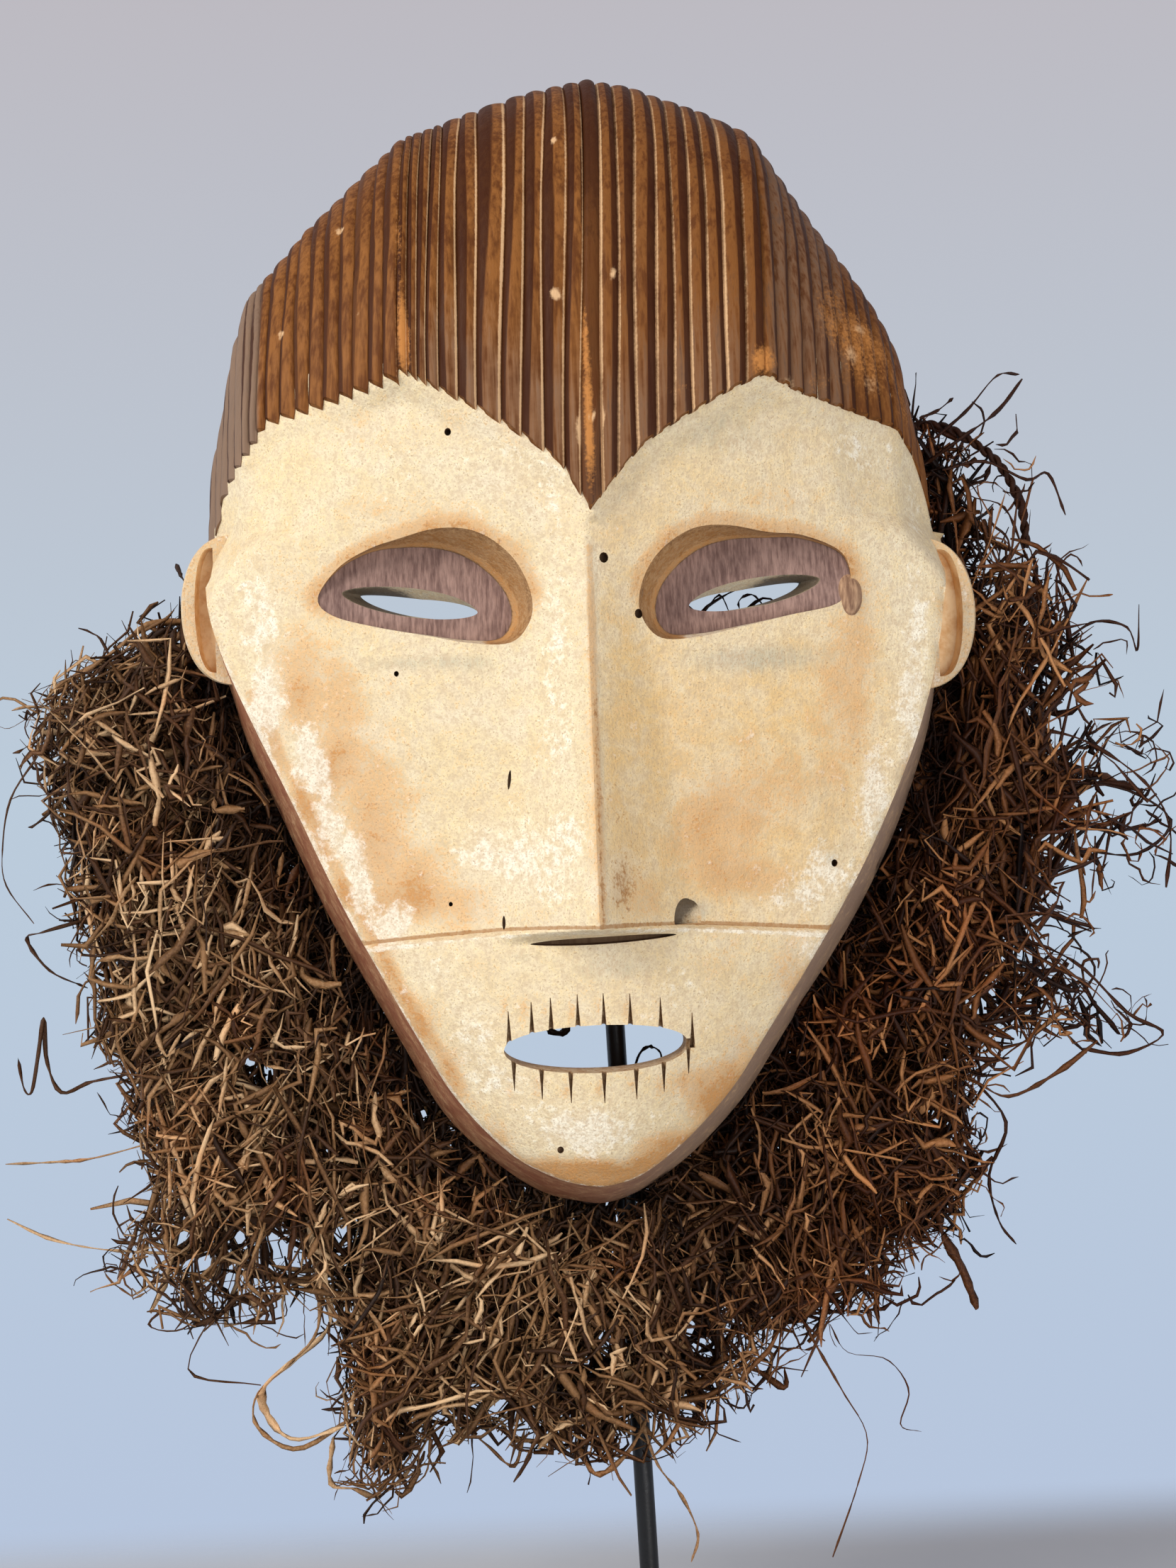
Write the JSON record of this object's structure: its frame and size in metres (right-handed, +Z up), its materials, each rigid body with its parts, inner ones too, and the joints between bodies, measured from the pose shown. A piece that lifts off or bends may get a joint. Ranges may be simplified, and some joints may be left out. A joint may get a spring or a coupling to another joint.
{
  "type": "carved mask with fibre beard on a stand",
  "caption": "Hollow carved wooden face mask with fluted hair, slit eyes, a toothed mouth and a fibre beard, held up by a rod on a flat foot.",
  "frame": {"origin": "middle of the foot's underside, on the surface that the stand rests on", "axes": "+Z up along the stand, -Y the way the face looks, +X towards the right of the mask as seen from the front"},
  "size_m": [0.2806, 0.13, 0.4288],
  "materials": {
    "carved_wood": "hand-carved light wood, the face whitened with pale clay that is rubbed and cracked, the hair and edges bare brown wood",
    "raffia_fibre": "dry, loose brown plant fibre, crumpled and dusty",
    "twisted_cord": "thin dark twisted plant-fibre cord",
    "black_steel": "satin black lacquer on steel"
  },
  "bodies": {
    "root": {"mask": "carved_wood", "fibre_beard": "raffia_fibre", "beard_cord": "twisted_cord", "stand_rod": "black_steel", "stand_foot": "black_steel"}
  },
  "joints": []
}
